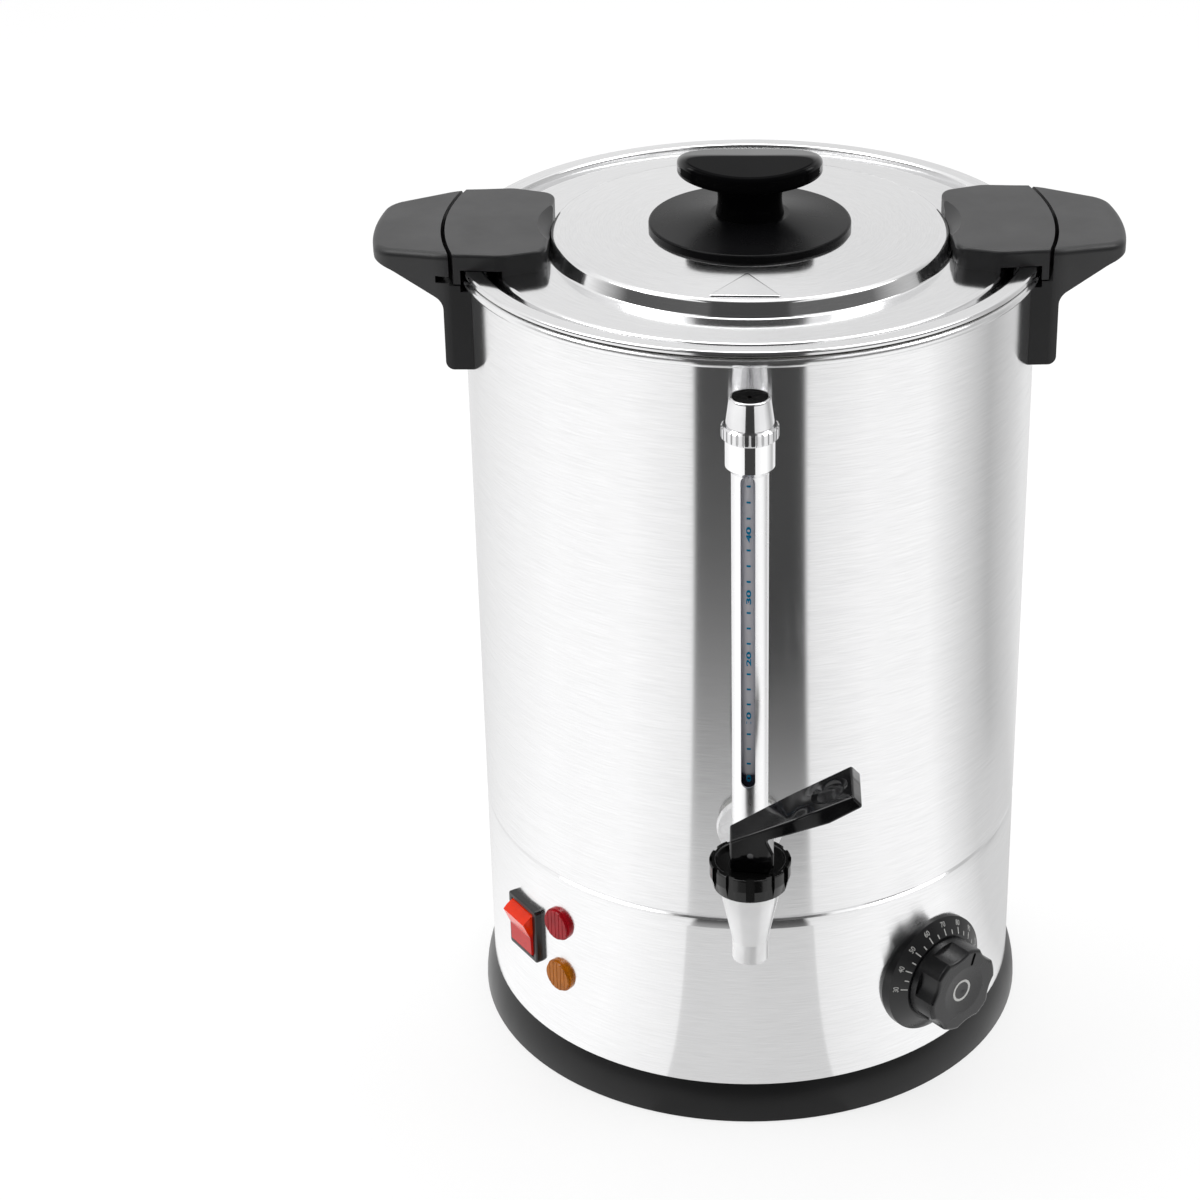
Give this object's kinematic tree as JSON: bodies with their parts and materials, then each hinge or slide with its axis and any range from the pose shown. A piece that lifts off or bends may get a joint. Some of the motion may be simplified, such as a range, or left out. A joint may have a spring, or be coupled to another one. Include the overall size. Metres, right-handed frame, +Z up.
{
  "type": "coffee urn",
  "caption": "Free-standing electric drinks urn with a twist-off lid, side handles, sight gauge, lever tap, thermostat dial, rocker switch and pilot lamps.",
  "frame": {"origin": "on the urn's vertical axis, in the plane that it stands on", "axes": "+Z up the urn's axis, -Y toward the tap at the front, +X to the right seen from the front"},
  "size_m": [0.3136, 0.3177, 0.4004],
  "materials": {
    "shell_steel": "brushed round the shell",
    "lid_steel": "polished in rings",
    "plate_steel": "plain",
    "screw_steel": "plain",
    "tube_steel": "drawn",
    "spring_steel": "drawn wire",
    "chrome_plate": "polished",
    "heater_aluminium": "cast",
    "copper": "drawn copper",
    "terminal_brass": "tinned brass",
    "base_plastic": "satin",
    "grip_plastic": "fine grain",
    "knob_plastic": "polished",
    "knob_base_plastic": "satin",
    "lever_plastic": "polished",
    "bonnet_plastic": "satin",
    "dial_plastic": "satin",
    "dial_knob_plastic": "satin",
    "bezel_plastic": "satin",
    "rocker_plastic": "translucent red",
    "red_lens": "translucent red",
    "amber_lens": "translucent amber",
    "gauge_glass": "clear",
    "silicone": "matt",
    "foot_rubber": "matt",
    "phenolic": "moulded",
    "terminal_plastic": "moulded"
  },
  "bodies": {
    "urn": {"tank": "shell_steel", "skirt": "shell_steel", "base_ring": "base_plastic", "foot_ring": "foot_rubber", "base_plate": "plate_steel", "base_screws": "screw_steel", "heater_plate": "heater_aluminium", "heater_tube": "tube_steel", "thermal_cutout": "phenolic", "handle_left": "grip_plastic", "handle_right": "grip_plastic", "handle_brackets": "plate_steel", "handle_screws": "screw_steel", "tap_shank": "chrome_plate", "tap_washers": "silicone", "tap_nut": "plate_steel", "gauge_guard": "chrome_plate", "gauge_glass": "gauge_glass", "gauge_seals": "silicone", "tap_body": "chrome_plate", "tap_spring": "spring_steel", "dial_plate": "dial_plastic", "thermostat": "phenolic", "thermostat_bulb": "copper", "switch_housing": "bezel_plastic", "switch_blades": "terminal_brass", "heat_lamp_lens": "red_lens", "warm_lamp_lens": "amber_lens", "lamp_holders": "phenolic", "inlet_socket": "bezel_plastic", "inlet_pins": "terminal_brass", "inlet_screws": "screw_steel", "terminal_block": "terminal_plastic"},
    "seal": {"lid_seal": "silicone"},
    "lid": {"lid": "lid_steel", "lid_lug_left": "grip_plastic", "lid_lug_right": "grip_plastic", "lid_lug_screws": "screw_steel", "knob_base": "knob_base_plastic", "lid_knob": "knob_plastic", "knob_washer": "screw_steel", "knob_screw": "screw_steel"},
    "seat_cup": {"seat_cup": "silicone"},
    "stem": {"tap_stem": "tube_steel", "lever_pin": "screw_steel"},
    "lever": {"tap_lever": "lever_plastic"},
    "bonnet": {"tap_bonnet": "bonnet_plastic"},
    "gauge_cap": {"gauge_cap": "chrome_plate", "vent_plug": "knob_plastic"},
    "dial": {"thermostat_shaft": "tube_steel", "dial_knob": "dial_knob_plastic"},
    "rocker": {"switch_rocker": "rocker_plastic"}
  },
  "joints": [
    {"name": "lid_lift", "type": "slide", "parent": "urn", "child": "seal", "axis": [0, 0, 1], "range_m": [0, 0.15]},
    {"name": "lid_twist", "type": "hinge", "parent": "seal", "child": "lid", "pos_m": [0, 0, 0.364], "axis": [0, 0, 1], "range_deg": [0, 20]},
    {"name": "stem_lift", "type": "slide", "parent": "urn", "child": "seat_cup", "axis": [0, 0, 1], "range_m": [0, 0.003], "deforming": ["tap_spring"]},
    {"name": "tap_swivel", "type": "hinge", "parent": "seat_cup", "child": "stem", "pos_m": [0, -0.176, 0.15], "axis": [0, 0, 1], "range_deg": [-200, 20]},
    {"name": "lever_tilt", "type": "hinge", "parent": "stem", "child": "lever", "pos_m": [0, -0.176, 0.1765], "axis": [0, 1, 0], "range_deg": [0, 30], "stiffness_Nm_per_rad": 0.25, "springref_deg": -22.92},
    {"name": "bonnet_turn", "type": "hinge", "parent": "urn", "child": "bonnet", "pos_m": [0, -0.176, 0.165], "axis": [0, 0, 1], "continuous": true},
    {"name": "gauge_cap_turn", "type": "hinge", "parent": "urn", "child": "gauge_cap", "pos_m": [0, -0.139, 0.34], "axis": [0, 0, 1], "continuous": true},
    {"name": "dial_turn", "type": "hinge", "parent": "urn", "child": "dial", "pos_m": [0.08631, -0.09721, 0.0564], "axis": [-0.6639, 0.7478, 0], "range_deg": [-103, 77]},
    {"name": "rocker_tilt", "type": "hinge", "parent": "urn", "child": "rocker", "pos_m": [-0.09766, -0.06712, 0.066], "axis": [0.5664, -0.8241, 0], "range_deg": [-24, 0]}
  ],
  "couplings": [
    {"joint": "stem_lift", "follows": "lever_tilt", "m_per_rad": 0.0057296}
  ]
}
